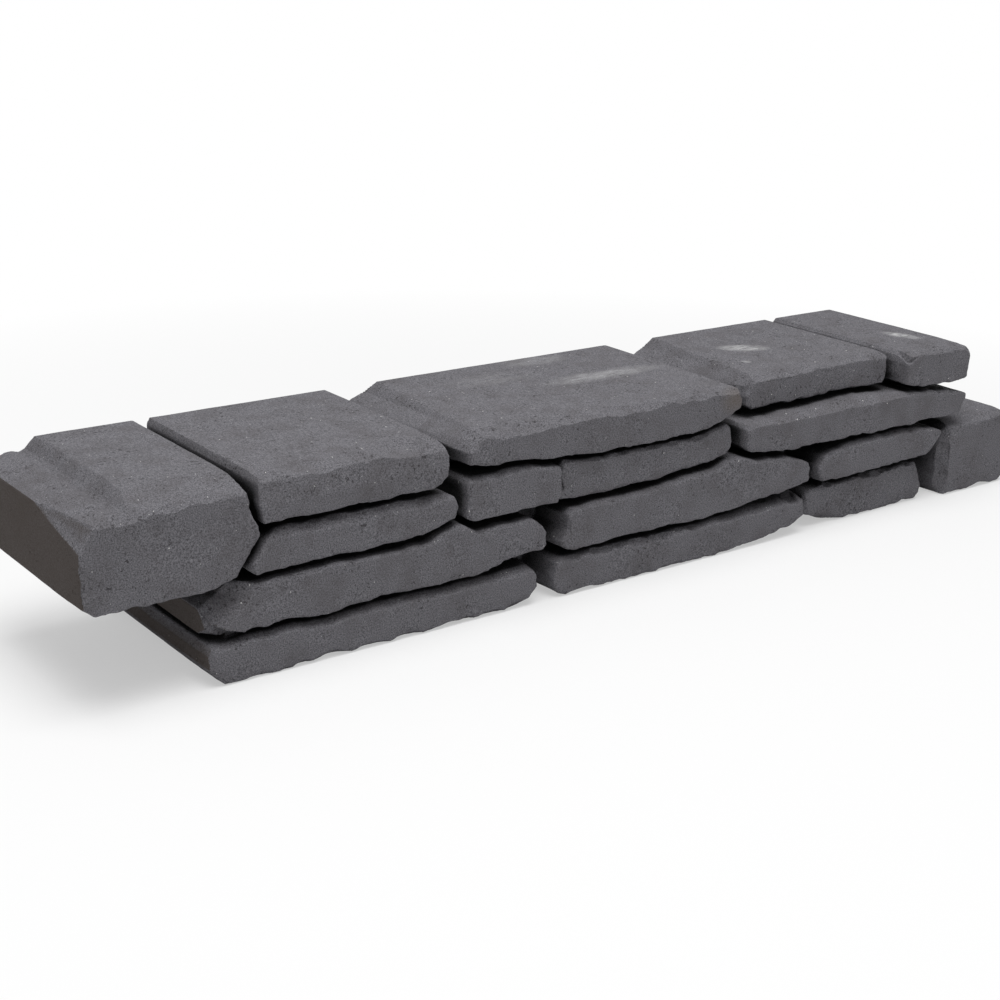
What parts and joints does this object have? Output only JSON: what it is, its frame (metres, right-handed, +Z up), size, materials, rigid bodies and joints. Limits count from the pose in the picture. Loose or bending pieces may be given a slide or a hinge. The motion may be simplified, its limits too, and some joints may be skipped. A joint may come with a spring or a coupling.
{
  "type": "garden wall block",
  "caption": "Cast concrete garden walling block whose face is moulded as dry-laid stones in courses, with stepped ends that interlock with the next block.",
  "frame": {"origin": "middle of the bottom bed, half way along the overall length and half way through the depth", "axes": "+X along the wall to the right as the face is seen, +Y from the moulded face to the back, +Z up"},
  "size_m": [0.558, 0.1, 0.085],
  "materials": {
    "concrete": "matte dark grey cast concrete with a sandy grain"
  },
  "bodies": {
    "root": {"walling_block": "concrete"}
  },
  "joints": []
}
